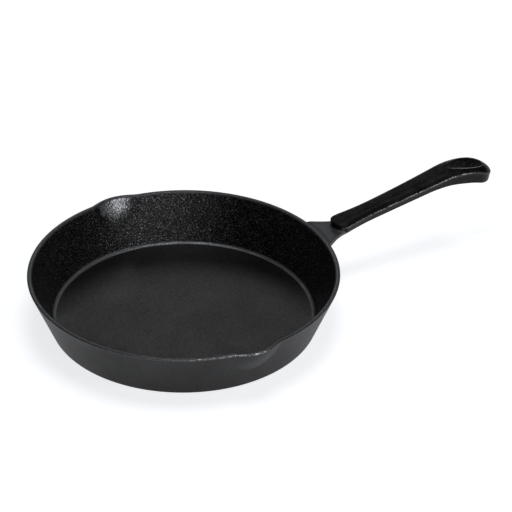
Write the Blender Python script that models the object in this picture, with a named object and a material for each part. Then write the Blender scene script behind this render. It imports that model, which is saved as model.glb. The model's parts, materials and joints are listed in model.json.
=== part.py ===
import math

import bmesh
import bpy
from mathutils import Matrix, Vector

# Cast iron skillet, metres.  The handle runs along +X, +Z is up and the
# underside rests at z = 0 with the bowl's centre on the origin.

# Bowl
rim_radius = 0.1300          # outside, at the top of the wall
base_radius = 0.1112         # outside, where the wall would meet the underside
bowl_height = 0.0455
wall_width = 0.0040          # measured level
floor_thickness = 0.0043
base_round = 0.0034
floor_round = 0.0050
rim_round = 0.0009           # fall of the rim from its crest to its edges

# Pour lips, one each side, square to the handle
lip_reach = 0.0047           # how far the rim swells outward
lip_half_width = 0.0215
lip_depth = 0.0245           # where the swelling has run out
lip_softness = 1.25
lip_dip = 0.0005
lip_margin = 1.27            # finely turned arc of the bowl, as a share of the lip's

# Flared bracket between the bowl and the grip
bracket_lift = 0.0009        # its top above the rim
bracket_reach = 0.0200       # its end past the rim
bracket_thickness = 0.0036
bracket_root_thickness = 0.0052
bracket_root_angle = math.radians(9.6)
bracket_root_share = 0.625   # share of its length that is thickened
bracket_end_half = 0.0098
bracket_flare = 1.45
bracket_edge_round = 0.0012
bracket_top = bowl_height + bracket_lift
bracket_end = rim_radius + bracket_reach

# Grip, laid out from the tongue that laps over the bracket
tongue_lap = 0.0084          # tongue over the bracket
tongue_round = 0.0104        # length of the tongue's rounded end
grip_length = 0.1544
shoulder_half = 0.0114       # half width at the end of the tongue's round
neck_half = 0.0093
neck_from_tip = 0.0364
eye_half = 0.0142
eye_round = 0.0150           # length of the grip's rounded end
tongue_tip = bracket_end - tongue_lap
tongue_centre = tongue_tip + tongue_round
neck_at = tongue_tip + neck_from_tip
grip_end = tongue_tip + grip_length
eye_at = grip_end - eye_round

# Side view of the grip, followed by its widest line
root_lift = 0.0042           # widest line above the bracket, at the tongue
rise_angle = math.radians(11.5)
rise_sag = 0.0005
bend_from_end = 0.0480       # where the straight rise turns over
bend_radius = 0.0660
bend_at = grip_end - bend_from_end
bend_height = bracket_top + root_lift + (bend_at - tongue_centre) * math.tan(rise_angle)

# Section of the grip
crown = 0.0040               # top of the grip above its widest line
crown_power = 3.0
belly = 0.0082               # widest line down to the underside
eye_belly = 0.0122
belly_swell_from = eye_at - 0.0490
belly_swell_to = eye_at - 0.0090
side_lean = 0.0018
belly_round = 0.0022
tongue_lean = 0.00045        # the same two, where the tongue laps the bracket
tongue_foot_round = 0.0004
full_section_half = 0.0060   # narrower than this, lean and rounding shrink too
end_belly = 0.25             # share of the belly left at the grip's very end

# Hanging eye, a drop shape with its narrow end towards the bowl
eye_end_wall = 0.0082        # iron left at the grip's end
eye_hole_length = 0.0360
eye_hole_half = 0.0082
eye_hole_point = 0.6         # 0 is an ellipse, 1 is a full drop
eye_hole_round = 0.0012
eye_hole_to = grip_end - eye_end_wall
eye_hole_from = eye_hole_to - eye_hole_length

# Hairline between neighbouring pieces
seam_gap = 0.0003

# How finely the grip's surface is divided along its length
coarse_step = 0.0060
fine_step = 0.0038
step_run = 0.00005           # length of the step down behind the bracket
merge_distance = 0.000001


def clear_scene():
    for old in list(bpy.data.objects):
        bpy.data.objects.remove(old, do_unlink=True)


def iron_material(name, shade, roughness):
    material = bpy.data.materials.new(name)
    material.use_nodes = True
    shader = material.node_tree.nodes["Principled BSDF"]
    shader.inputs["Base Color"].default_value = (shade, shade, shade * 1.04, 1.0)
    shader.inputs["Metallic"].default_value = 0.6
    shader.inputs["Roughness"].default_value = roughness
    return material


def object_from(name, bm, material, sharp_degrees=32.0):
    bmesh.ops.remove_doubles(bm, verts=bm.verts, dist=merge_distance)
    bmesh.ops.recalc_face_normals(bm, faces=bm.faces)
    mesh = bpy.data.meshes.new(name)
    bm.to_mesh(mesh)
    bm.free()
    mesh.shade_smooth()
    mesh.set_sharp_from_angle(angle=math.radians(sharp_degrees))
    mesh.materials.append(material)
    made = bpy.data.objects.new(name, mesh)
    bpy.context.scene.collection.objects.link(made)
    return made


def ring_edges(bm, points):
    verts = [bm.verts.new(point) for point in points]
    edges = []
    for here, there in zip(verts, verts[1:] + verts[:1]):
        edges.append(bm.edges.new((here, there)))
    return verts, edges


def loft(bm, rings):
    made = [ring_edges(bm, points) for points in rings]
    for (_, first), (_, second) in zip(made, made[1:]):
        bmesh.ops.bridge_loops(bm, edges=first + second)
    return [verts for verts, _ in made]


def ease(value):
    value = min(max(value, 0.0), 1.0)
    return value * value * (3.0 - 2.0 * value)


# Bowl ------------------------------------------------------------------

def wall_slope():
    return (rim_radius - base_radius) / (bowl_height - rim_round)


def outer_radius(z):
    return base_radius + wall_slope() * z


def corner_arc(corner, radius, steps, inward):
    # rounds the corner between level ground and the sloping wall
    lean = math.atan(wall_slope())
    turn = math.pi / 2 - lean
    reach = radius * math.tan(turn / 2)
    centre_r = corner[0] - reach
    centre_z = corner[1] + radius
    points = []
    for step in range(steps + 1):
        angle = turn * step / steps
        points.append((centre_r + radius * math.sin(angle), centre_z - radius * math.cos(angle)))
    return points[::-1] if inward else points


def bowl_profile():
    rim_edge = bowl_height - rim_round
    rows = [lip_depth * share for share in (1.0, 0.84, 0.68, 0.52, 0.37, 0.23, 0.11)]
    profile = [(0.0, 0.0)]
    profile += corner_arc((base_radius, 0.0), base_round, 4, False)
    for depth in rows:
        height = bowl_height - depth
        profile.append((outer_radius(height), height))
    middle = outer_radius(rim_edge) - wall_width / 2
    for step in range(7):
        angle = math.pi / 2 - math.pi * step / 6
        drop = rim_round * (1.0 - math.cos(angle))
        profile.append((middle + wall_width / 2 * math.sin(angle), bowl_height - drop))
    for depth in rows[::-1]:
        height = bowl_height - depth
        profile.append((outer_radius(height) - wall_width, height))
    inside_corner = (outer_radius(floor_thickness) - wall_width, floor_thickness)
    profile += corner_arc(inside_corner, floor_round, 5, True)
    profile.append((0.0, floor_thickness))
    return profile


def lip_push(along, depth):
    reach = 1.0 - (along / lip_half_width) ** 2 - (depth / lip_depth) ** 2
    return max(reach, 0.0) ** lip_softness


def form_lips(bm):
    for vert in bm.verts:
        depth = bowl_height - vert.co.z
        radius = math.hypot(vert.co.x, vert.co.y)
        if depth > lip_depth or radius < base_radius - wall_width:
            continue
        side = 1.0 if vert.co.y > 0.0 else -1.0
        along = radius * math.atan2(vert.co.x, abs(vert.co.y))
        push = lip_push(along, max(depth, 0.0))
        vert.co.y += side * lip_reach * push
        vert.co.z -= lip_dip * push


def pan_body():
    bm = bmesh.new()
    lip_arc = 2 * lip_margin * lip_half_width / rim_radius
    plain_arc = math.pi - lip_arc
    start = Matrix.Rotation(-math.pi / 2 - lip_arc / 2, 4, "Z")
    verts = [bm.verts.new(start @ Vector((r, 0.0, z))) for r, z in bowl_profile()]
    edges = [bm.edges.new(pair) for pair in zip(verts, verts[1:])]
    geometry = verts + edges
    for arc, steps in ((lip_arc, 16), (plain_arc, 40), (lip_arc, 16), (plain_arc, 40)):
        turned = bmesh.ops.spin(
            bm, geom=geometry, cent=(0.0, 0.0, 0.0), axis=(0.0, 0.0, 1.0),
            angle=arc, steps=steps, use_duplicate=False)
        geometry = turned["geom_last"]
    bmesh.ops.remove_doubles(bm, verts=bm.verts, dist=merge_distance)
    form_lips(bm)
    return object_from("pan_body", bm, iron_material("pan_body_iron", 0.045, 0.55))


# Bracket ---------------------------------------------------------------

def bracket_half(x, root_x, root_half):
    share = (bracket_end - x) / (bracket_end - root_x)
    return bracket_end_half + (root_half - bracket_end_half) * share ** bracket_flare


def bracket_row(share):
    # share 0 at the wall, 1 at the far end; the wall end is curved and leaning
    wall_radius = outer_radius(bracket_top) + seam_gap
    root_x = wall_radius * math.cos(bracket_root_angle)
    root_half = wall_radius * math.sin(bracket_root_angle)
    edge_x = root_x + (bracket_end - root_x) * share
    half = bracket_half(edge_x, root_x, root_half)
    thickness = bracket_thickness
    thickness += (bracket_root_thickness - bracket_thickness) * (1.0 - ease(share / bracket_root_share))
    low = bracket_top - thickness
    round_off = bracket_edge_round
    outline = []
    across = [-1.0, -0.72, -0.36, 0.0, 0.36, 0.72, 1.0]
    for place in across:
        outline.append((place * (half - round_off), bracket_top))
    outline.append((half - round_off * 0.3, bracket_top - round_off * 0.3))
    outline.append((half, bracket_top - round_off))
    outline.append((half, low + round_off))
    outline.append((half - round_off * 0.3, low + round_off * 0.3))
    for place in across[::-1]:
        outline.append((place * (half - round_off), low))
    outline.append((-half + round_off * 0.3, low + round_off * 0.3))
    outline.append((-half, low + round_off))
    outline.append((-half, bracket_top - round_off))
    outline.append((-half + round_off * 0.3, bracket_top - round_off * 0.3))
    ring = []
    for y, z in outline:
        radius = outer_radius(z) + seam_gap
        wall_x = math.sqrt(radius * radius - y * y)
        ring.append((wall_x + (bracket_end - wall_x) * share, y, z))
    return ring


def handle_bracket():
    bm = bmesh.new()
    rows = [bracket_row(share) for share in (0.0, 0.08, 0.18, 0.3, 0.43, 0.57, 0.72, 0.86, 1.0)]
    rings = loft(bm, rows)
    root = rings[0]
    half = len(root) // 2
    tops = [root[-2], root[-1]] + root[:half - 2]
    lows = root[half - 2:-2][::-1]
    for index in range(len(tops) - 1):
        bm.faces.new((tops[index], tops[index + 1], lows[index + 1], lows[index]))
    bm.faces.new(rings[-1])
    return object_from("handle_bracket", bm, iron_material("handle_bracket_iron", 0.06, 0.5))


# Grip ------------------------------------------------------------------

def widest_line(x):
    if x < bend_at:
        height = bend_height - (bend_at - x) * math.tan(rise_angle)
        share = (x - tongue_centre) / (bend_at - tongue_centre)
        return height - rise_sag * math.sin(math.pi * min(max(share, 0.0), 1.0))
    centre_x = bend_at + bend_radius * math.sin(rise_angle)
    centre_z = bend_height - bend_radius * math.cos(rise_angle)
    return centre_z + math.sqrt(bend_radius ** 2 - (x - centre_x) ** 2)


def plan_half(x):
    if x <= neck_at:
        share = (neck_at - x) / (neck_at - tongue_centre)
        return neck_half + (shoulder_half - neck_half) * min(share, 1.0) ** 2
    share = min((x - neck_at) / (eye_at - neck_at), 1.0)
    return neck_half + (eye_half - neck_half) * share ** 1.5


def outline_half(x):
    half = plan_half(x)
    if x < tongue_centre:
        share = (tongue_centre - x) / tongue_round
        return half * math.sqrt(max(1.0 - share * share, 0.0))
    if x > eye_at:
        share = (x - eye_at) / eye_round
        return half * math.sqrt(max(1.0 - share * share, 0.0))
    return half


def end_taper(x):
    share = min(max((x - eye_at) / eye_round, 0.0), 1.0)
    return (1.0 - share ** 4) ** 0.5


def crown_height(x, y):
    reach = outline_half(x) if x > eye_at else plan_half(x)
    share = min(abs(y) / max(reach, merge_distance), 1.0)
    return crown * end_taper(x) * (1.0 - share ** crown_power)


def top_surface(x, y):
    return widest_line(x) + crown_height(x, y)


def belly_depth(x):
    swell = ease((x - belly_swell_from) / (belly_swell_to - belly_swell_from))
    past_eye = min(max((x - eye_at) / eye_round, 0.0), 1.0)
    kept = end_belly + (1.0 - end_belly) * math.sqrt(1.0 - past_eye ** 2)
    return (belly + (eye_belly - belly) * swell) * kept


def grip_ring(x, over_bracket):
    half = outline_half(x)
    top = []
    for step in range(11):
        y = half * math.sin(math.pi / 2 * (step - 5) / 5)
        top.append((x, y, top_surface(x, y)))
    edge_z = top[-1][2]
    if over_bracket:
        low = bracket_top + seam_gap
        lean = tongue_lean
        round_off = tongue_foot_round
    else:
        low = widest_line(x) - belly_depth(x)
        lean = side_lean
        round_off = belly_round
    squeeze = min(1.0, half / full_section_half)
    lean *= squeeze
    round_off *= squeeze
    lower = []
    foot = half - lean
    lower.append((half - lean * 0.12, edge_z - 0.12 * (edge_z - low)))
    lower.append((half - lean * 0.6, edge_z - 0.45 * (edge_z - low)))
    for step in range(4):
        angle = math.pi / 2 * step / 3
        lower.append((foot - round_off * (1.0 - math.cos(angle)),
                      low + round_off * (1.0 - math.sin(angle))))
    lower.append(((foot - round_off) * 0.4, low))
    ring = list(top)
    ring += [(x, y, z) for y, z in lower]
    ring += [(x, -y, z) for y, z in lower[::-1]]
    return ring


def grip_stations():
    stations = []
    seam = bracket_end + seam_gap
    for degrees in (84.0, 72.0, 58.0, 42.0, 24.0):
        x = tongue_centre - tongue_round * math.sin(math.radians(degrees))
        if x < seam - 2 * step_run:
            stations.append((x, True))
    stations += [(seam - step_run, True), (seam, False)]
    x = seam + fine_step / 2
    while x < eye_at - fine_step / 2:
        stations.append((x, False))
        x += coarse_step if x < belly_swell_from else fine_step
    for degrees in (0.0, 16.0, 31.0, 45.0, 58.0, 69.0, 78.0, 84.0):
        stations.append((eye_at + eye_round * math.sin(math.radians(degrees)), False))
    return stations


def drop_outline(outset, steps=36):
    middle = (eye_hole_from + eye_hole_to) / 2
    reach = (eye_hole_to - eye_hole_from) / 2 + outset
    angles = [2 * math.pi * step / steps for step in range(steps)]
    sides = [math.sin(angle) * math.sin(angle / 2) ** eye_hole_point for angle in angles]
    widen = (eye_hole_half + outset) / max(sides)
    return [(middle - reach * math.cos(angle), side * widen) for angle, side in zip(angles, sides)]


def eye_cutter():
    bm = bmesh.new()
    round_off = eye_hole_round
    rings = []
    # each ring steps outset and rise by multiples of the rounding
    for outset, rise in ((1.9, 6.0), (1.9, 1.2), (0.75, 0.0), (0.25, -0.45), (0.0, -1.2)):
        rings.append([(x, y, top_surface(x, y) + rise * round_off)
                      for x, y in drop_outline(outset * round_off)])
    for outset, rise in ((0.0, 1.2), (0.25, 0.45), (0.75, 0.0), (1.9, -1.2), (1.9, -4.0)):
        rings.append([(x, y, widest_line(x) - belly_depth(x) + rise * round_off)
                      for x, y in drop_outline(outset * round_off)])
    made = loft(bm, rings)
    bm.faces.new(made[0])
    bm.faces.new(made[-1])
    cutter = object_from("eye_cutter", bm, iron_material("cutter", 0.5, 0.5))
    cutter.hide_render = True
    cutter.display_type = "WIRE"
    return cutter


def handle_grip():
    bm = bmesh.new()
    rings = loft(bm, [grip_ring(x, over) for x, over in grip_stations()])
    bm.faces.new(rings[0])
    bm.faces.new(rings[-1])
    grip = object_from("handle_grip", bm, iron_material("handle_grip_iron", 0.03, 0.45))
    cutter = eye_cutter()
    cut = grip.modifiers.new("hanging_eye", "BOOLEAN")
    cut.operation = "DIFFERENCE"
    cut.solver = "EXACT"
    cut.object = cutter
    return grip


clear_scene()
pan_body()
handle_bracket()
handle_grip()
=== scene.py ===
import json
import math

import bmesh
import bpy
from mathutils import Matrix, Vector

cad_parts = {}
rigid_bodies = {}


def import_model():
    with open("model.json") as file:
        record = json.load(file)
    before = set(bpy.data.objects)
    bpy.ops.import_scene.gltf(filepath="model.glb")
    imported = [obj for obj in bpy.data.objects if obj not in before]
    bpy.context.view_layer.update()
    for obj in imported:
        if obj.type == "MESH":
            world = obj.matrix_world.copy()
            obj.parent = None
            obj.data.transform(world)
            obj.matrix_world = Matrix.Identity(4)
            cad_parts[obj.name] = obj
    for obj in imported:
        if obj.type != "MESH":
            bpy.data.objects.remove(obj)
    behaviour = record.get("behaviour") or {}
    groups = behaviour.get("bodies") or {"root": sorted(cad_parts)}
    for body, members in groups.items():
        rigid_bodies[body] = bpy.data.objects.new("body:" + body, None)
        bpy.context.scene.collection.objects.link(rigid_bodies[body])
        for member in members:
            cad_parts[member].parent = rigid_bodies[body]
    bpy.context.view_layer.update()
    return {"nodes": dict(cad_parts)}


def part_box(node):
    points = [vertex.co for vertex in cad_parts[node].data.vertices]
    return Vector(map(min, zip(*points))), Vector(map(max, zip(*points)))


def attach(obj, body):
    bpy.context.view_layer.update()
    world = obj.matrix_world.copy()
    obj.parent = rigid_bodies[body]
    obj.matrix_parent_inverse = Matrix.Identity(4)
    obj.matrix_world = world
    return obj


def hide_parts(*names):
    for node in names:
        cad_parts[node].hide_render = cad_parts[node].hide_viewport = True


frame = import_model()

print("frame loaded:", sorted(frame["nodes"]))

panLow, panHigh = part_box("pan_body")
bracketLow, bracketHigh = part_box("handle_bracket")
gripLow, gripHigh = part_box("handle_grip")


# ---- small helpers

def ease(value):
    value = min(max(value, 0.0), 1.0)
    return value * value * (3.0 - 2.0 * value)


def quarterFall(distance, radius):
    # drop of a rounded edge at a distance in from that edge
    inside = min(max(distance, 0.0), radius)
    return radius - math.sqrt(radius * radius - (radius - inside) ** 2)


def meshPiece(name, bm, material, sharpDegrees):
    bmesh.ops.remove_doubles(bm, verts=bm.verts, dist=0.000002)
    bmesh.ops.recalc_face_normals(bm, faces=bm.faces)
    mesh = bpy.data.meshes.new(name)
    bm.to_mesh(mesh)
    bm.free()
    mesh.shade_smooth()
    mesh.set_sharp_from_angle(angle=math.radians(sharpDegrees))
    mesh.materials.append(material)
    piece = bpy.data.objects.new(name, mesh)
    bpy.context.scene.collection.objects.link(piece)
    return piece


def loftRings(bm, rings):
    made = [[bm.verts.new(point) for point in ring] for ring in rings]
    count = len(made[0])
    for first, second in zip(made, made[1:]):
        for index in range(count):
            following = (index + 1) % count
            bm.faces.new((first[index], first[following], second[following], second[index]))
    return made


# ---- material helpers

class Shader:
    def __init__(self, name):
        self.material = bpy.data.materials.new(name)
        self.material.use_nodes = True
        self.tree = self.material.node_tree
        self.surface = self.tree.nodes["Principled BSDF"]
        self.place = self.tree.nodes.new("ShaderNodeTexCoord").outputs["Object"]

    def link(self, source, socket):
        self.tree.links.new(source, socket)

    def put(self, socket, value):
        if isinstance(value, bpy.types.NodeSocket):
            self.link(value, socket)
        else:
            socket.default_value = value

    def math(self, operation, first, second=0.0, clamp=False):
        node = self.tree.nodes.new("ShaderNodeMath")
        node.operation = operation
        node.use_clamp = clamp
        self.put(node.inputs[0], first)
        self.put(node.inputs[1], second)
        return node.outputs[0]

    def noise(self, scale, detail=4.0, rough=0.55, place=None):
        node = self.tree.nodes.new("ShaderNodeTexNoise")
        self.link(place or self.place, node.inputs["Vector"])
        node.inputs["Scale"].default_value = scale
        node.inputs["Detail"].default_value = detail
        node.inputs["Roughness"].default_value = rough
        return node.outputs["Fac"]

    def pebbles(self, scale, smooth=0.6):
        node = self.tree.nodes.new("ShaderNodeTexVoronoi")
        node.feature = "SMOOTH_F1"
        self.link(self.place, node.inputs["Vector"])
        node.inputs["Scale"].default_value = scale
        node.inputs["Smoothness"].default_value = smooth
        return node.outputs["Distance"]

    def stretch(self, scale):
        node = self.tree.nodes.new("ShaderNodeMapping")
        self.link(self.place, node.inputs["Vector"])
        node.inputs["Scale"].default_value = scale
        return node.outputs["Vector"]

    def span(self, value, low, high, newLow, newHigh, soft=False):
        node = self.tree.nodes.new("ShaderNodeMapRange")
        node.interpolation_type = "SMOOTHSTEP" if soft else "LINEAR"
        for index, number in enumerate((value, low, high, newLow, newHigh)):
            self.put(node.inputs[index], number)
        return node.outputs[0]

    def mix(self, share, first, second):
        node = self.tree.nodes.new("ShaderNodeMix")
        self.put(node.inputs["Factor"], share)
        self.put(node.inputs["A"], first)
        self.put(node.inputs["B"], second)
        return node.outputs["Result"]

    def split(self, vector):
        node = self.tree.nodes.new("ShaderNodeSeparateXYZ")
        self.link(vector, node.inputs[0])
        return node.outputs

    def normalAlong(self, axis):
        geometry = self.tree.nodes.new("ShaderNodeNewGeometry")
        return self.split(geometry.outputs["Normal"])[axis]

    def normalUp(self):
        return self.normalAlong(2)

    def attribute(self, name):
        node = self.tree.nodes.new("ShaderNodeAttribute")
        node.attribute_name = name
        return node.outputs["Fac"]

    def grey(self, value, cool=1.05):
        # a grey that leans slightly cool
        node = self.tree.nodes.new("ShaderNodeCombineColor")
        self.put(node.inputs[0], value)
        self.put(node.inputs[1], self.math("MULTIPLY", value, 1.0 + (cool - 1.0) * 0.3))
        self.put(node.inputs[2], self.math("MULTIPLY", value, cool))
        return node.outputs[0]

    def bump(self, height, distance, strength=1.0, normal=None):
        node = self.tree.nodes.new("ShaderNodeBump")
        node.inputs["Distance"].default_value = distance
        self.put(node.inputs["Strength"], strength)
        self.link(height, node.inputs["Height"])
        if normal is not None:
            self.link(normal, node.inputs["Normal"])
        return node.outputs[0]

    def finish(self, colour, roughness, normal):
        self.link(colour, self.surface.inputs["Base Color"])
        self.link(roughness, self.surface.inputs["Roughness"])
        self.link(normal, self.surface.inputs["Normal"])
        return self.material


# ---- pan body

panIron = {
    "pebbleScale": 800.0,
    "pebbleDepth": 0.00034,
    "rippleScale": 430.0,
    "rippleDepth": 0.00022,
    "grainScale": 1500.0,
    "grainDepth": 0.00004,
    "cloudScale": 28.0,
    "smudgeScale": 30.0,
    "toothScale": 820.0,
    "rimFleckScale": 850.0,
    "fleckScale": 900.0,
    "fleckMetal": 0.90,
    "fleckShade": 0.34,
    "insideShade": 0.005,
    "outsideShade": 0.012,
    "outsideGloss": 0.17,
    # lighter colour of the fillet ring: a painted highlight
    "filletHighlightShade": 0.15,
    "filletMetal": 0.28,
    "filletRoughness": 0.17,
    "filletBump": 0.80,
    "rimShade": 0.12,
    "rimMetal": 0.45,
    # colour of the lip scoops: polish with a painted highlight
    "lipSheenShade": 0.62,
    "lipMetal": 0.95,
    "lipSheenReach": 0.0185,
    "lipStreakScale": 700.0,
    "wallRoughness": 0.24,
    "floorRoughness": 0.40,
    "outsideRoughness": 0.50,
    "rimRoughness": 0.33,
    # painted glint on the rim's outer rounding, over the arc facing the camera
    "glintFrom": math.radians(-125.0),
    "glintTo": math.radians(-86.0),
    "glintFadeIn": 0.60,
    "glintFadeOut": 0.04,
    "glintDashScale": 420.0,
    "glintShade": 0.78,
    "floorBump": 0.20,
    "outsideBump": 0.10,
}


def lipPolishAndSheen(iron, x, height):
    # the scoop of each pour lip, bright metal in streaks running down from the rim: partly real polish,
    # partly a painted highlight
    far = panIron["lipSheenReach"]
    across = iron.math("POWER", iron.math("ABSOLUTE", iron.math("DIVIDE", x, far)), 2.0)
    down = iron.math("POWER", iron.math("DIVIDE", iron.math("SUBTRACT", panHigh.z, height), far), 2.0)
    reach = iron.math("SUBTRACT", iron.math("SUBTRACT", 1.0, across), down)
    streak = iron.noise(panIron["lipStreakScale"], 3.0, 0.6, iron.stretch((1.0, 1.0, 0.22)))
    ragged = iron.math("ADD", reach, iron.span(streak, 0.3, 0.7, -0.45, 0.25))
    return iron.span(ragged, 0.05, 0.85, 0.0, 1.0, soft=True)


def paintedRimGlint(iron, x, y, rim):
    # the outer rounding of the rim, made bright metal in a broken line up to one pour lip on the arc that
    # faces the camera: a painted glint
    values = panIron
    around = iron.math("ARCTAN2", y, x)
    outward = iron.math("ADD", iron.math("MULTIPLY", iron.normalAlong(0), x),
                        iron.math("MULTIPLY", iron.normalAlong(1), y))
    edge = iron.math("MULTIPLY", iron.span(outward, 0.015, 0.035, 0.0, 1.0, soft=True),
                     iron.span(iron.normalUp(), 0.25, 0.5, 0.0, 1.0, soft=True))
    arc = iron.math("MULTIPLY",
                    iron.span(around, values["glintFrom"],
                              values["glintFrom"] + values["glintFadeIn"], 0.0, 1.0),
                    iron.span(around, values["glintTo"] - values["glintFadeOut"],
                              values["glintTo"], 1.0, 0.0))
    dash = iron.math("ADD", iron.noise(values["glintDashScale"], 3.0, 0.7),
                     iron.math("MULTIPLY", arc, 0.10))
    dash = iron.span(dash, 0.53, 0.68, 0.0, 1.0, soft=True)
    return iron.math("MULTIPLY", iron.math("MULTIPLY", edge, rim), iron.math("MULTIPLY", arc, dash))


def panIronMaterial():
    iron = Shader("panIron")
    values = panIron
    x, y, height = iron.split(iron.place)
    up = iron.normalUp()
    inside = iron.span(up, -0.1, 0.1, 0.0, 1.0, soft=True)
    flat = iron.math("MULTIPLY", iron.span(up, 0.90, 0.995, 0.0, 1.0, soft=True),
                     iron.span(height, 0.010, 0.030, 1.0, 0.0))
    # the fillet ring between floor and wall, on the band of normals where the overhead light's reflection
    # runs: smoother and partly metal, and lighter in colour as a painted highlight
    fillet = iron.math("MULTIPLY", iron.span(height, 0.0075, 0.0090, 1.0, 0.0, soft=True),
                       iron.math("MULTIPLY", iron.span(up, 0.58, 0.72, 0.0, 1.0, soft=True),
                                 iron.span(up, 0.94, 0.985, 1.0, 0.0, soft=True)))
    rim = iron.span(height, panHigh.z - 0.0017, panHigh.z - 0.0010, 0.0, 1.0, soft=True)
    lip = iron.math("MULTIPLY", lipPolishAndSheen(iron, x, height),
                    iron.math("MULTIPLY", inside, iron.span(iron.math("ABSOLUTE", y), 0.10, 0.11, 0.0, 1.0)))
    lip = iron.math("MULTIPLY", lip, iron.math("SUBTRACT", 1.0, rim))
    cloud = iron.noise(values["cloudScale"], 3.0)
    grain = iron.noise(values["grainScale"], 3.0, 0.6)
    fleck = iron.span(iron.noise(values["rimFleckScale"], 2.0, 0.7), 0.46, 0.62, 0.45, 1.0, soft=True)
    pebble = iron.pebbles(values["pebbleScale"])
    ripple = iron.noise(values["rippleScale"], 2.0)
    insideShade = iron.math("MULTIPLY", iron.span(cloud, 0.3, 0.7, 0.85, 1.15), values["insideShade"])
    outsideShade = iron.math("MULTIPLY", iron.span(cloud, 0.3, 0.7, 0.92, 1.08), values["outsideShade"])
    spark = iron.span(iron.noise(values["fleckScale"], 2.0, 0.7), 0.56, 0.69, 0.0, 1.0, soft=True)
    spark = iron.math("MULTIPLY", spark, iron.mix(flat, inside, 0.0))
    # painted shade: the outer wall darker towards the base where it meets the floor and lighter towards the
    # rim
    outsideShade = iron.math("MULTIPLY", outsideShade, iron.span(height, 0.0, panHigh.z, 0.8, 1.15))
    shade = iron.mix(inside, outsideShade, insideShade)
    shade = iron.mix(spark, shade, values["fleckShade"])
    shade = iron.mix(rim, shade, iron.math("MULTIPLY", fleck, values["rimShade"]))
    # lip scoops lightened: polish with a painted highlight
    shade = iron.mix(lip, shade, values["lipSheenShade"])
    # painted glint: bright metal dashes on the rim's outer rounding
    rimGlintMask = paintedRimGlint(iron, x, y, rim)
    shade = iron.mix(rimGlintMask, shade, values["glintShade"])
    # painted highlight along the fillet ring
    shade = iron.mix(fillet, shade, values["filletHighlightShade"])
    shade = iron.math("MULTIPLY", shade, iron.span(grain, 0.25, 0.75, 0.8, 1.2))
    insideRough = iron.mix(flat, values["wallRoughness"], values["floorRoughness"])
    rough = iron.mix(inside, values["outsideRoughness"], insideRough)
    rough = iron.mix(rim, rough, values["rimRoughness"])
    rough = iron.mix(fillet, rough, values["filletRoughness"])
    rough = iron.math("ADD", rough, iron.span(cloud, 0.3, 0.7, -0.03, 0.03))
    rough = iron.math("ADD", rough, iron.span(grain, 0.3, 0.7, -0.04, 0.04))
    depth = iron.mix(inside, values["outsideBump"], iron.mix(flat, 1.0, values["floorBump"]))
    depth = iron.mix(rim, depth, values["outsideBump"])
    depth = iron.mix(fillet, depth, values["filletBump"])
    normal = iron.bump(ripple, values["rippleDepth"], depth)
    normal = iron.bump(pebble, values["pebbleDepth"], depth, normal)
    normal = iron.bump(grain, values["grainDepth"], 0.5, normal)
    metal = iron.math("MULTIPLY", spark, values["fleckMetal"])
    metal = iron.mix(rim, metal, iron.math("MULTIPLY", fleck, values["rimMetal"]))
    metal = iron.mix(fillet, iron.mix(lip, metal, values["lipMetal"]), values["filletMetal"])
    # the painted rim glint is full metal
    metal = iron.math("MAXIMUM", metal, rimGlintMask)
    iron.put(iron.surface.inputs["Metallic"], metal)
    tooth = iron.noise(values["toothScale"], 2.0, 0.6)
    smudge = iron.noise(values["smudgeScale"], 4.0, 0.6, iron.stretch((1.0, 1.0, 0.5)))
    outsideGloss = iron.math("MULTIPLY", iron.span(tooth, 0.3, 0.7, 0.75, 1.25), values["outsideGloss"])
    outsideGloss = iron.math("MULTIPLY", outsideGloss, iron.span(smudge, 0.35, 0.65, 0.80, 1.15))
    # less glossy towards the base: the same painted shade
    outsideGloss = iron.math("MULTIPLY", outsideGloss, iron.span(height, 0.0, panHigh.z, 0.75, 1.10))
    gloss = iron.mix(inside, outsideGloss, iron.span(tooth, 0.3, 0.7, 0.26, 0.58))
    iron.put(iron.surface.inputs["Specular IOR Level"], gloss)
    return iron.finish(iron.grey(shade), rough, normal)


panShape = {
    "baseRadius": 0.1112,
    "wallWidth": 0.0040,
    "floorHeight": 0.0043,
    "baseRound": 0.0034,
    "floorRound": 0.0050,
    "rimRound": 0.0009,
    "lipHalfWidth": 0.0215,
    "lipDepth": 0.0245,
    "lipSoftness": 1.25,
    "lipDip": 0.0005,
    "segments": 480,
    "wallRows": 34,
}


def wallSlope():
    return (panHigh.x - panShape["baseRadius"]) / (panHigh.z - panShape["rimRound"])


def outerRadius(z):
    return panShape["baseRadius"] + wallSlope() * z


def cornerArc(cornerRadius, cornerZ, radius, steps):
    turn = math.pi / 2 - math.atan(wallSlope())
    centre = cornerRadius - radius * math.tan(turn / 2)
    angles = [turn * step / steps for step in range(steps + 1)]
    return [(centre + radius * math.sin(a), cornerZ + radius - radius * math.cos(a)) for a in angles]


def panProfile():
    shape = panShape
    rimEdge = panHigh.z - shape["rimRound"]
    outer = cornerArc(shape["baseRadius"], 0.0, shape["baseRound"], 8)
    inner = cornerArc(outerRadius(shape["floorHeight"]) - shape["wallWidth"],
                      shape["floorHeight"], shape["floorRound"], 10)
    levels = [step / shape["wallRows"] for step in range(1, shape["wallRows"])]
    points = [(outer[0][0] * share, 0.0) for share in (0.0, 0.25, 0.5, 0.75, 0.93)]
    points += outer
    points += [(outerRadius(z), z) for z in
               (outer[-1][1] + (rimEdge - outer[-1][1]) * level for level in levels)]
    middle = panHigh.x - shape["wallWidth"] / 2
    for step in range(13):
        angle = math.pi / 2 - math.pi * step / 12
        points.append((middle + shape["wallWidth"] / 2 * math.sin(angle),
                       panHigh.z - shape["rimRound"] * (1.0 - math.cos(angle))))
    points += [(outerRadius(z) - shape["wallWidth"], z) for z in
               (rimEdge - (rimEdge - inner[-1][1]) * level for level in levels)]
    points += inner[::-1]
    points += [(inner[0][0] * share, shape["floorHeight"]) for share in (0.93, 0.75, 0.5, 0.25, 0.0)]
    return points


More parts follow.
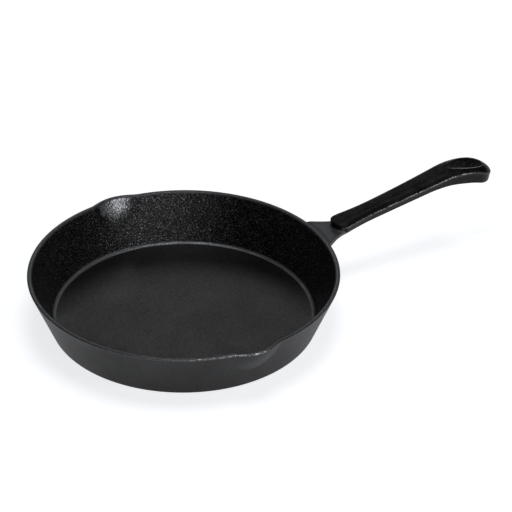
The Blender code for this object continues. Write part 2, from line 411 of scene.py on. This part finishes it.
def turnedBodyTree():
    # turns the profile about +Z and swells it into two pour lips
    tree = bpy.data.node_groups.new("turnedPanBody", "GeometryNodeTree")
    kinds = {"Profile": "NodeSocketGeometry", "Segments": "NodeSocketInt", "Rim Height": "NodeSocketFloat",
             "Lip Reach": "NodeSocketFloat", "Lip Half Width": "NodeSocketFloat",
             "Lip Depth": "NodeSocketFloat", "Lip Softness": "NodeSocketFloat",
             "Lip Dip": "NodeSocketFloat", "Iron": "NodeSocketMaterial"}
    for name, kind in kinds.items():
        tree.interface.new_socket(name=name, in_out="INPUT", socket_type=kind)
    tree.interface.new_socket(name="Body", in_out="OUTPUT", socket_type="NodeSocketGeometry")
    given = tree.nodes.new("NodeGroupInput").outputs
    result = tree.nodes.new("NodeGroupOutput")

    def put(socket, value):
        if isinstance(value, bpy.types.NodeSocket):
            tree.links.new(value, socket)
        else:
            socket.default_value = value

    def number(operation, first, second=0.0):
        node = tree.nodes.new("ShaderNodeMath")
        node.operation = operation
        put(node.inputs[0], first)
        put(node.inputs[1], second)
        return node.outputs[0]

    def vector(x, y, z):
        node = tree.nodes.new("ShaderNodeCombineXYZ")
        for socket, value in zip(node.inputs, (x, y, z)):
            put(socket, value)
        return node.outputs[0]

    def split(value):
        node = tree.nodes.new("ShaderNodeSeparateXYZ")
        put(node.inputs[0], value)
        return node.outputs

    def moved(geometry, place=None, offset=None):
        node = tree.nodes.new("GeometryNodeSetPosition")
        put(node.inputs["Geometry"], geometry)
        if place is not None:
            put(node.inputs["Position"], place)
        if offset is not None:
            put(node.inputs["Offset"], offset)
        return node.outputs[0]

    size = tree.nodes.new("GeometryNodeAttributeDomainSize")
    put(size.inputs["Geometry"], given["Profile"])
    rows = size.outputs["Point Count"]
    grid = tree.nodes.new("GeometryNodeMeshGrid")
    put(grid.inputs["Vertices X"], number("ADD", given["Segments"], 1.0))
    put(grid.inputs["Vertices Y"], rows)
    index = tree.nodes.new("GeometryNodeInputIndex").outputs[0]
    column = number("FLOOR", number("DIVIDE", number("ADD", index, 0.5), rows))
    row = number("SUBTRACT", index, number("MULTIPLY", column, rows))
    sample = tree.nodes.new("GeometryNodeSampleIndex")
    sample.data_type = "FLOAT_VECTOR"
    put(sample.inputs["Geometry"], given["Profile"])
    put(sample.inputs["Value"], tree.nodes.new("GeometryNodeInputPosition").outputs[0])
    put(sample.inputs["Index"], row)
    profile = split(sample.outputs[0])
    angle = number("MULTIPLY", number("DIVIDE", column, given["Segments"]), 2.0 * math.pi)
    turned = moved(grid.outputs["Mesh"], place=vector(
        number("MULTIPLY", profile[0], number("COSINE", angle)),
        number("MULTIPLY", profile[0], number("SINE", angle)), profile[2]))
    weld = tree.nodes.new("GeometryNodeMergeByDistance")
    put(weld.inputs["Geometry"], turned)
    put(weld.inputs["Distance"], 0.000005)

    here = split(tree.nodes.new("GeometryNodeInputPosition").outputs[0])
    away = number("ABSOLUTE", here[1])
    radius = number("SQRT", number("ADD", number("MULTIPLY", here[0], here[0]),
                                   number("MULTIPLY", here[1], here[1])))
    along = number("MULTIPLY", radius, number("ARCTAN2", here[0], away))
    deep = number("MAXIMUM", number("SUBTRACT", given["Rim Height"], here[2]), 0.0)
    acrossShare = number("POWER", number("ABSOLUTE", number("DIVIDE", along, given["Lip Half Width"])), 2.0)
    downShare = number("POWER", number("DIVIDE", deep, given["Lip Depth"]), 2.0)
    left = number("MAXIMUM", number("SUBTRACT", number("SUBTRACT", 1.0, acrossShare), downShare), 0.0)
    push = number("POWER", left, given["Lip Softness"])
    outward = number("MULTIPLY", number("SIGN", here[1]), number("MULTIPLY", push, given["Lip Reach"]))
    fall = number("MULTIPLY", number("MULTIPLY", push, given["Lip Dip"]), -1.0)
    lipped = moved(weld.outputs[0], offset=vector(0.0, outward, fall))

    real = tree.nodes.new("GeometryNodeRealizeInstances")
    put(real.inputs[0], lipped)
    coat = tree.nodes.new("GeometryNodeSetMaterial")
    put(coat.inputs["Geometry"], real.outputs[0])
    put(coat.inputs["Material"], given["Iron"])
    put(result.inputs[0], coat.outputs[0])
    return tree


def plainMesh(name, carrier, sharpDegrees):
    # evaluates the carrier's nodes into a plain mesh with its faces outwards
    graph = bpy.context.evaluated_depsgraph_get()
    mesh = bpy.data.meshes.new_from_object(carrier.evaluated_get(graph))
    material = [slot for slot in mesh.materials if slot][0]
    bm = bmesh.new()
    bm.from_mesh(mesh)
    for face in bm.faces:
        face.material_index = 0
    bpy.data.meshes.remove(mesh)
    bpy.data.objects.remove(carrier)
    return meshPiece(name, bm, material, sharpDegrees)


def makePanBody():
    shape = panShape
    outline = panProfile()
    mesh = bpy.data.meshes.new("panProfile")
    mesh.from_pydata([(radius, 0.0, z) for radius, z in outline],
                     [(step, step + 1) for step in range(len(outline) - 1)], [])
    carrier = bpy.data.objects.new("panProfile", mesh)
    bpy.context.scene.collection.objects.link(carrier)
    tree = turnedBodyTree()
    turning = carrier.modifiers.new("turning", "NODES")
    turning.node_group = tree
    inputs = {"Segments": shape["segments"], "Rim Height": panHigh.z,
              "Lip Reach": panHigh.y - panHigh.x, "Lip Half Width": shape["lipHalfWidth"],
              "Lip Depth": shape["lipDepth"], "Lip Softness": shape["lipSoftness"],
              "Lip Dip": shape["lipDip"], "Iron": panIronMaterial()}
    for item in tree.interface.items_tree:
        if item.in_out == "INPUT" and item.name in inputs:
            turning[item.identifier] = inputs[item.name]
    body = plainMesh("panBody", carrier, 35.0)
    print("pan body:", len(body.data.polygons), "faces")
    return body


# ---- handle bracket

bracketIron = {"shade": 0.055, "gloss": 0.5, "roughness": 0.42, "grainScale": 1300.0}


def bracketIronMaterial():
    iron = Shader("bracketIron")
    values = bracketIron
    cloud = iron.noise(90.0, 3.0)
    grain = iron.noise(values["grainScale"], 3.0, 0.6)
    shade = iron.math("MULTIPLY", iron.span(cloud, 0.3, 0.7, 0.88, 1.12), values["shade"])
    shade = iron.math("MULTIPLY", shade, iron.span(grain, 0.3, 0.7, 0.85, 1.15))
    rough = iron.math("ADD", iron.span(cloud, 0.3, 0.7, -0.04, 0.04), values["roughness"])
    iron.put(iron.surface.inputs["Specular IOR Level"], values["gloss"])
    normal = iron.bump(iron.noise(380.0, 2.0), 0.00010, 0.5)
    normal = iron.bump(grain, 0.00005, 0.5, normal)
    return iron.finish(iron.grey(shade), rough, normal)


bracketShape = {
    "thickness": 0.0036,
    "rootThickness": 0.0056,
    "rootAngle": math.radians(9.6),
    "endHalf": 0.0098,
    "flare": 1.45,
    "edgeRound": 0.0011,
    "footRound": 0.0018,
    "rimBlend": 0.0050,
    "blendStart": 0.0022,
    "tuck": 0.0024,
    "wallBite": 0.001,
    "rows": 90,
    "across": 110,
}


def bracketHalf(x, rootX, rootHalf):
    shape = bracketShape
    share = (bracketHigh.x - x) / (bracketHigh.x - rootX)
    return shape["endHalf"] + (rootHalf - shape["endHalf"]) * max(share, 0.0) ** shape["flare"]


def tongueDistance(x, y):
    # how far a point of the bracket lies outside the grip's tongue
    shape = gripShape
    reach = shape["tongueCentre"] - gripLow.x
    if x < shape["tongueCentre"]:
        return (math.hypot((shape["tongueCentre"] - x) / reach, y / shape["shoulderHalf"]) - 1.0) * reach
    return abs(y) - shape["shoulderHalf"]


def bracketTop(x, y):
    shape = bracketShape
    outward = math.hypot(x, y) - (panHigh.x - shape["blendStart"])
    rise = ease(outward / shape["rimBlend"])
    level = panHigh.z - 0.00010 + (bracketHigh.z - panHigh.z + 0.00008) * rise
    return level + quarterFall(tongueDistance(x, y), shape["footRound"]) * 0.92


def bracketRing(share):
    shape = bracketShape
    innerRadius = panHigh.x - shape["tuck"]
    rootRadius = panHigh.x
    rootX = rootRadius * math.cos(shape["rootAngle"])
    rootHalf = rootRadius * math.sin(shape["rootAngle"])
    edgeX = rootX + (bracketHigh.x - rootX) * share
    half = bracketHalf(edgeX, rootX, rootHalf)
    thickness = shape["thickness"]
    thickness += (shape["rootThickness"] - thickness) * (1.0 - ease(share * 1.6)) ** 2
    low = bracketHigh.z - thickness
    edge = shape["edgeRound"]

    def place(y, z, top):
        radius = innerRadius if top else outerRadius(z) - shape["wallBite"]
        start = math.sqrt(radius ** 2 - y * y)
        return start + (bracketHigh.x - start) * share

    ring = []
    for step in range(shape["across"] + 1):
        y = -half + 2 * half * step / shape["across"]
        x = place(y, bracketHigh.z, True)
        ring.append((x, y, bracketTop(x, y) - quarterFall(half - abs(y), edge)))
    for step in range(1, 7):
        z = ring[shape["across"]][2] + (low + edge - ring[shape["across"]][2]) * step / 6
        ring.append((place(half, z, False) if step > 3 else ring[shape["across"]][0], half, z))
    for step in range(41):
        y = half - 2 * half * step / 40
        z = low + quarterFall(half - abs(y), edge)
        ring.append((place(y, z, False), y, z))
    for step in range(5, 0, -1):
        z = ring[0][2] + (low + edge - ring[0][2]) * step / 6
        ring.append((place(-half, z, False) if step > 3 else ring[0][0], -half, z))
    return ring


def makeBracket():
    shape = bracketShape
    bm = bmesh.new()
    rings = loftRings(bm, [bracketRing(step / shape["rows"]) for step in range(shape["rows"] + 1)])
    bm.faces.new(rings[0])
    bm.faces.new(rings[-1])
    bracket = meshPiece("handleBracket", bm, bracketIronMaterial(), 50.0)
    print("bracket:", len(bracket.data.polygons), "faces")
    return bracket


# ---- handle grip

gripIron = {
    "shade": 0.005,
    "gloss": 0.105,
    "roughness": 0.40,
    "sideGloss": 0.10,
    "grainScale": 1100.0,
    "partingShade": 0.55,
    "partingMetal": 0.9,
    "partingRoughness": 0.36,
    # painted shade inside the hanging eye
    "eyeGloss": 0.04,
    # colour of the painted highlight on the eye's near edge
    "eyeHighlightShade": 0.85,
}


def gripIronMaterial():
    iron = Shader("gripIron")
    values = gripIron
    cloud = iron.noise(60.0, 3.0)
    patch = iron.noise(110.0, 4.0, 0.65)
    grain = iron.noise(values["grainScale"], 3.0, 0.6)
    fleck = iron.noise(900.0, 2.0, 0.7)
    parting = iron.math("MULTIPLY", iron.attribute("parting"),
                        iron.span(fleck, 0.45, 0.58, 0.06, 1.0, soft=True))
    eye = iron.attribute("eye")
    # painted highlight along the near edge of the hanging eye
    eyeEdgeHighlight = iron.math("MULTIPLY", iron.attribute("eyeEdgeHighlight"), iron.span(fleck, 0.35, 0.6, 0.4, 1.0))
    eyeFleck = iron.math("MULTIPLY", eye, iron.span(fleck, 0.56, 0.68, 0.0, 0.16, soft=True))
    # the eye wall's metal flecks join the painted edge highlight
    eyeEdgeHighlight = iron.math("MAXIMUM", eyeEdgeHighlight, eyeFleck)
    side = iron.span(iron.normalUp(), 0.15, 0.45, 1.0, 0.0, soft=True)
    shade = iron.math("MULTIPLY", iron.span(cloud, 0.3, 0.7, 0.85, 1.15), values["shade"])
    shade = iron.math("MULTIPLY", shade, iron.span(grain, 0.3, 0.7, 0.8, 1.2))
    shade = iron.mix(parting, shade, values["partingShade"])
    # painted highlight colour on the eye's near edge
    shade = iron.mix(eyeEdgeHighlight, shade, values["eyeHighlightShade"])
    iron.put(iron.surface.inputs["Metallic"],
             iron.math("MULTIPLY", iron.math("MAXIMUM", parting, eyeEdgeHighlight), values["partingMetal"]))
    rough = iron.math("ADD", iron.span(patch, 0.3, 0.7, -0.08, 0.08), values["roughness"])
    rough = iron.mix(parting, rough, values["partingRoughness"])
    gloss = iron.math("MULTIPLY", iron.span(patch, 0.3, 0.7, 0.3, 2.0), values["gloss"])
    gloss = iron.math("MULTIPLY", gloss, iron.span(grain, 0.3, 0.7, 0.4, 1.6))
    gloss = iron.mix(side, gloss, values["sideGloss"])
    # the eye wall gets almost no gloss, a painted shade that keeps the hole dark
    iron.put(iron.surface.inputs["Specular IOR Level"], iron.mix(eye, gloss, values["eyeGloss"]))
    normal = iron.bump(patch, 0.00070, 0.8)
    normal = iron.bump(iron.noise(420.0, 2.0), 0.00026, 0.8, normal)
    normal = iron.bump(grain, 0.00010, 0.8, normal)
    return iron.finish(iron.grey(shade), rough, normal)


gripShape = {
    "tongueCentre": 0.1520,
    "neckHalf": 0.0093,
    "neckAt": 0.1780,
    "shoulderHalf": 0.0114,
    "eyeHalf": 0.0142,
    "eyeAt": 0.2810,
    "riseAngle": math.radians(11.5),
    "bendAt": 0.2480,
    "bendHeight": 0.07013,
    "bendRadius": 0.0660,
    "riseSag": 0.0005,
    "crown": 0.00397,
    "crownPower": 3.0,
    "belly": 0.0082,
    "eyeBelly": 0.0122,
    "bellySwellFrom": 0.2320,
    "bellySwellTo": 0.2720,
    "sideLean": 0.0018,
    "bellyRound": 0.0022,
    "tongueRound": 0.0009,
    "tongueEase": 0.0050,
    "tongueLap": 0.0010,
    "tongueCorner": 0.0004,
    "partingBead": 0.00022,
    "beadFade": 0.006,
    "fullSectionHalf": 0.006,
    "tipBelly": 0.25,
    "eyeFrom": 0.2518,
    "eyeTo": 0.2878,
    "eyeHoleHalf": 0.0082,
    "eyePoint": 0.6,
    "eyeRound": 0.0016,
    "topSteps": 44,
}


def widestLine(x):
    shape = gripShape
    if x < shape["bendAt"]:
        height = shape["bendHeight"] - (shape["bendAt"] - x) * math.tan(shape["riseAngle"])
        share = (x - shape["tongueCentre"]) / (shape["bendAt"] - shape["tongueCentre"])
        return height - shape["riseSag"] * math.sin(math.pi * min(max(share, 0.0), 1.0))
    centreX = shape["bendAt"] + shape["bendRadius"] * math.sin(shape["riseAngle"])
    centreZ = shape["bendHeight"] - shape["bendRadius"] * math.cos(shape["riseAngle"])
    return centreZ + math.sqrt(shape["bendRadius"] ** 2 - (x - centreX) ** 2)


def planHalf(x):
    shape = gripShape
    if x <= shape["neckAt"]:
        share = (shape["neckAt"] - x) / (shape["neckAt"] - shape["tongueCentre"])
        return shape["neckHalf"] + (shape["shoulderHalf"] - shape["neckHalf"]) * min(share, 1.0) ** 2
    share = min((x - shape["neckAt"]) / (shape["eyeAt"] - shape["neckAt"]), 1.0)
    return shape["neckHalf"] + (shape["eyeHalf"] - shape["neckHalf"]) * share ** 1.5


def endShare(x):
    # 0 along the grip, rising to 1 at either rounded end
    if x < gripShape["tongueCentre"]:
        return min((gripShape["tongueCentre"] - x) / (gripShape["tongueCentre"] - gripLow.x), 1.0)
    return min(max((x - gripShape["eyeAt"]) / (gripHigh.x - gripShape["eyeAt"]), 0.0), 1.0)


def outlineHalf(x):
    return planHalf(x) * math.sqrt(1.0 - endShare(x) ** 2)


def endTaper(x):
    return (1.0 - endShare(x) ** 4) ** 0.5 if x > gripShape["eyeAt"] else 1.0


def topSurface(x, y):
    shape = gripShape
    reach = outlineHalf(x) if x > shape["eyeAt"] else planHalf(x)
    share = min(abs(y) / max(reach, 1e-6), 1.0)
    return widestLine(x) + shape["crown"] * endTaper(x) * (1.0 - share ** shape["crownPower"])


def tongueFall(x, y):
    # rounds the tongue's upper edge over, easing out where the long sides begin
    shape = gripShape
    if x > shape["tongueCentre"]:
        return 0.0
    weight = ease((shape["tongueCentre"] - x) / shape["tongueEase"])
    return weight * quarterFall(-tongueDistance(x, y), shape["tongueRound"])


def bellyDepth(x):
    shape = gripShape
    swell = ease((x - shape["bellySwellFrom"]) / (shape["bellySwellTo"] - shape["bellySwellFrom"]))
    depth = shape["belly"] + (shape["eyeBelly"] - shape["belly"]) * swell
    if x <= shape["eyeAt"]:
        return depth
    return depth * (shape["tipBelly"] + (1.0 - shape["tipBelly"]) * math.sqrt(1.0 - endShare(x) ** 2))


def gripRing(x, overBracket):
    shape = gripShape
    half = outlineHalf(x)
    squeeze = min(1.0, half / shape["fullSectionHalf"])
    ring = []
    for step in range(shape["topSteps"] + 1):
        y = half * math.sin(math.pi * (step / shape["topSteps"] - 0.5))
        ring.append((x, y, topSurface(x, y) - tongueFall(x, y)))
    edgeZ = ring[-1][2]
    low = bracketHigh.z - shape["tongueLap"] if overBracket else widestLine(x) - bellyDepth(x)
    lean = shape["sideLean"] * (0.25 if overBracket else 1.0) * squeeze
    corner = (shape["tongueCorner"] if overBracket else shape["bellyRound"]) * squeeze
    bead = shape["partingBead"] * squeeze * (1.0 - ease((shape["tongueCentre"] - x) / shape["beadFade"]))
    lower = [(half - 0.1 * bead, edgeZ - 0.00022), (half - 0.5 * bead, edgeZ - 0.00050),
             (half - 1.6 * bead, edgeZ - 0.00075)]
    foot = half - 1.6 * bead - lean
    for share in (0.25, 0.45, 0.65, 0.85):
        z = edgeZ - 0.00075 + (low + corner - edgeZ + 0.00075) * share
        lower.append((half - 1.6 * bead - lean * share, z))
    for step in range(7):
        angle = math.pi / 2 * step / 6
        lower.append((foot - corner * (1.0 - math.cos(angle)), low + corner * (1.0 - math.sin(angle))))
    for share in (0.75, 0.5, 0.25):
        lower.append(((foot - corner) * share, low))
    ring += [(x, y, z) for y, z in lower]
    ring.append((x, 0.0, low))
    ring += [(x, -y, z) for y, z in lower[::-1]]
    return ring


def gripStations():
    shape = gripShape
    seam = bracketHigh.x
    reach = shape["tongueCentre"] - gripLow.x
    angles = [88.5 - 2.8 * step for step in range(30)]
    front = [shape["tongueCentre"] - reach * math.sin(math.radians(a)) for a in angles]
    stations = [(x, True) for x in front if x < seam - 0.0003]
    stations += [(seam - 0.00002, True), (seam, False)]
    x = seam + 0.0008
    while x < shape["eyeAt"]:
        stations.append((x, False))
        x += 0.0011
    reach = gripHigh.x - shape["eyeAt"]
    for step in range(34):
        angle = math.radians(88.5 * step / 33)
        stations.append((shape["eyeAt"] + reach * math.sin(angle), False))
    return stations


def dropOutline(outset, steps=120):
    shape = gripShape
    middle = (shape["eyeFrom"] + shape["eyeTo"]) / 2
    reach = (shape["eyeTo"] - shape["eyeFrom"]) / 2 + outset
    angles = [2 * math.pi * step / steps for step in range(steps)]
    sides = [math.sin(a) * math.sin(a / 2) ** shape["eyePoint"] for a in angles]
    widen = (shape["eyeHoleHalf"] + outset) / max(sides)
    return [(middle - reach * math.cos(a), side * widen) for a, side in zip(angles, sides)]


def eyeCutter():
    # the hanging eye with its edges rounded over, following the grip's faces
    radius = gripShape["eyeRound"]
    wide = dropOutline(1.6 * radius)
    turns = [math.radians(a) for a in (20.0, 32.0, 44.0, 56.0, 68.0, 80.0, 90.0)]
    rounding = [(dropOutline(radius * (1.0 - math.sin(turn))),
                 radius * (1.0 - math.cos(turn)) - radius * 0.06) for turn in turns]

    def underside(x):
        return widestLine(x) - bellyDepth(x)

    rings = [[(x, y, topSurface(x, y) + rise) for x, y in wide] for rise in (0.008, 0.6 * radius)]
    rings += [[(x, y, topSurface(x, y) - sink) for x, y in outline] for outline, sink in rounding]
    rings += [[(x, y, underside(x) + sink) for x, y in outline] for outline, sink in rounding[::-1]]
    rings += [[(x, y, underside(x) - drop) for x, y in wide] for drop in (0.6 * radius, 0.006)]
    bm = bmesh.new()
    made = loftRings(bm, rings)
    bm.faces.new(made[0])
    bm.faces.new(made[-1])
    return meshPiece("eyeCutter", bm, bpy.data.materials.new("cutterPlain"), 60.0)


def eyeSide(x):
    # half width of the hanging eye at a station along the grip
    outline = dropOutline(0.0, 240)[:121]
    for (x0, y0), (x1, y1) in zip(outline, outline[1:]):
        if x0 <= x <= x1:
            return y0 + (y1 - y0) * (x - x0) / max(x1 - x0, 1e-9)
    return 0.0


def markEye(piece):
    # "eye" is 1 on the wall of the hanging eye; the second mark lies on its rounding nearest the rim of the
    # hole, mostly on the near side, and carries a painted highlight
    shape = gripShape
    wall = piece.data.attributes.new("eye", "FLOAT", "POINT")
    edge = piece.data.attributes.new("eyeEdgeHighlight", "FLOAT", "POINT")
    for index, vertex in enumerate(piece.data.vertices):
        x, y, z = vertex.co
        if not shape["eyeFrom"] - shape["eyeRound"] < x < shape["eyeTo"] + shape["eyeRound"]:
            continue
        outside = abs(y) - eyeSide(x)
        if outside > shape["eyeRound"]:
            continue
        depth = topSurface(x, y) - z
        wall.data[index].value = ease((depth - 0.0008) / 0.0012) * (outside < 0.0007)
        near = 1.0 - 0.75 * ease((y + 0.003) / 0.006)
        near *= ease((x - shape["eyeFrom"]) / 0.010)
        near *= 1.0 - ease(depth / 0.0006)
        edge.data[index].value = near * (1.0 - ease((outside - 0.0010) / 0.0004))


def markParting(piece):
    # 1 on the dressed parting line, fading over its bead and towards the tip
    shape = gripShape
    mark = piece.data.attributes.new("parting", "FLOAT", "POINT")
    for index, vertex in enumerate(piece.data.vertices):
        x, y, z = vertex.co
        if x < shape["tongueCentre"] - shape["beadFade"]:
            continue
        gap = outlineHalf(x) - abs(y)
        level = abs(z - widestLine(x) + 0.0001)
        strength = 1.0 - ease(max(abs(gap) / 0.0012, level / 0.0008))
        strength *= 0.45 + 0.55 * ease((x - gripLow.x) / 0.070)
        mark.data[index].value = strength * (1.0 - 0.85 * ease((x - shape["eyeAt"] + 0.020) / 0.022))


def makeGrip():
    bm = bmesh.new()
    rings = loftRings(bm, [gripRing(x, over) for x, over in gripStations()])
    bm.faces.new(rings[0])
    bm.faces.new(rings[-1])
    carrier = meshPiece("gripBlank", bm, gripIronMaterial(), 50.0)
    cutter = eyeCutter()
    cut = carrier.modifiers.new("hangingEye", "BOOLEAN")
    cut.operation = "DIFFERENCE"
    cut.solver = "EXACT"
    cut.object = cutter
    grip = plainMesh("handleGrip", carrier, 50.0)
    bpy.data.objects.remove(cutter)
    markParting(grip)
    markEye(grip)
    print("grip:", len(grip.data.polygons), "faces")
    return grip


# ---- studio

studio = {
    "cameraPlace": (-1.15341, -2.23162, 1.67943),
    "cameraForward": (0.403696, 0.737365, -0.541592),
    "cameraRoll": 0.31,
    "lens": 253.8,
    "floorShade": 0.80,
    "floorGlow": 0.80,
    "floorDrop": 0.0002,
    "worldStrength": 0.0,
    "lightTint": (0.965, 0.975, 1.0),
}

softboxes = {
    # azimuth and elevation in degrees from the object, distance and size in metres, power in watts
    "overhead": (0.0, 88.0, 1.8, 0.9, 8.0),
    "backMiddle": (62.7, 34.0, 1.8, 0.6, 1.25),
    "backLeft": (90.0, 34.0, 1.8, 0.6, 0.6),
    "backRight": (35.0, 34.0, 1.8, 0.6, 0.55),
    "right": (-28.5, 40.0, 1.8, 0.6, 1.1),
    "frontLow": (-117.3, 14.0, 1.8, 0.9, 2.2),
    "frontRight": (-85.0, 14.0, 1.8, 0.9, 3.0),
    "lipGlint": (-68.0, 36.0, 1.8, 0.35, 1.4),
}


def makeCamera():
    data = bpy.data.cameras.new("camera")
    data.sensor_width = 36.0
    data.lens = studio["lens"]
    data.clip_start = 0.05
    data.clip_end = 30.0
    camera = bpy.data.objects.new("camera", data)
    camera.location = studio["cameraPlace"]
    camera.rotation_mode = "QUATERNION"
    aim = Vector(studio["cameraForward"]).to_track_quat("-Z", "Y")
    roll = Vector((0.0, 0.0, 1.0))
    turn = math.radians(studio["cameraRoll"])
    camera.rotation_quaternion = aim @ type(aim)(roll, turn)
    bpy.context.scene.collection.objects.link(camera)
    bpy.context.scene.camera = camera


def makeFloor():
    bm = bmesh.new()
    bmesh.ops.create_grid(bm, x_segments=1, y_segments=1, size=6.0)
    mesh = bpy.data.meshes.new("floor")
    bm.to_mesh(mesh)
    bm.free()
    floor = bpy.data.objects.new("floor", mesh)
    floor.location.z = -studio["floorDrop"]
    bpy.context.scene.collection.objects.link(floor)
    material = bpy.data.materials.new("paleFloor")
    material.use_nodes = True
    surface = material.node_tree.nodes["Principled BSDF"]
    shade = studio["floorShade"]
    surface.inputs["Base Color"].default_value = (shade, shade, shade, 1.0)
    surface.inputs["Roughness"].default_value = 0.9
    surface.inputs["Specular IOR Level"].default_value = 0.0
    surface.inputs["Emission Color"].default_value = (*studio["lightTint"], 1.0)
    surface.inputs["Emission Strength"].default_value = studio["floorGlow"]
    mesh.materials.append(material)


def makeSoftbox(name, azimuth, elevation, distance, size, power):
    data = bpy.data.lights.new(name, "AREA")
    data.shape = "DISK"
    data.size = size
    data.energy = power
    data.color = studio["lightTint"]
    light = bpy.data.objects.new(name, data)
    turn, rise = math.radians(azimuth), math.radians(elevation)
    away = Vector((math.cos(turn) * math.cos(rise), math.sin(turn) * math.cos(rise), math.sin(rise)))
    light.location = away * distance
    light.rotation_mode = "QUATERNION"
    light.rotation_quaternion = (-away).to_track_quat("-Z", "Y")
    bpy.context.scene.collection.objects.link(light)


def makeWorld():
    world = bpy.data.worlds.new("studioWorld")
    world.use_nodes = True
    background = world.node_tree.nodes["Background"]
    background.inputs["Color"].default_value = (1.0, 1.0, 1.0, 1.0)
    background.inputs["Strength"].default_value = studio["worldStrength"]
    bpy.context.scene.world = world


def makeStudio():
    makeCamera()
    makeFloor()
    makeWorld()
    for name, values in softboxes.items():
        makeSoftbox(name, *values)
    bpy.context.scene.view_settings.view_transform = "Standard"
    print("studio: camera, floor,", len(softboxes), "softboxes")


# ---- build

panBody = makePanBody()
handleBracket = makeBracket()
handleGrip = makeGrip()
for piece, node in ((panBody, "pan_body"), (handleBracket, "handle_bracket"), (handleGrip, "handle_grip")):
    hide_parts(node)
    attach(piece, "root")
makeStudio()
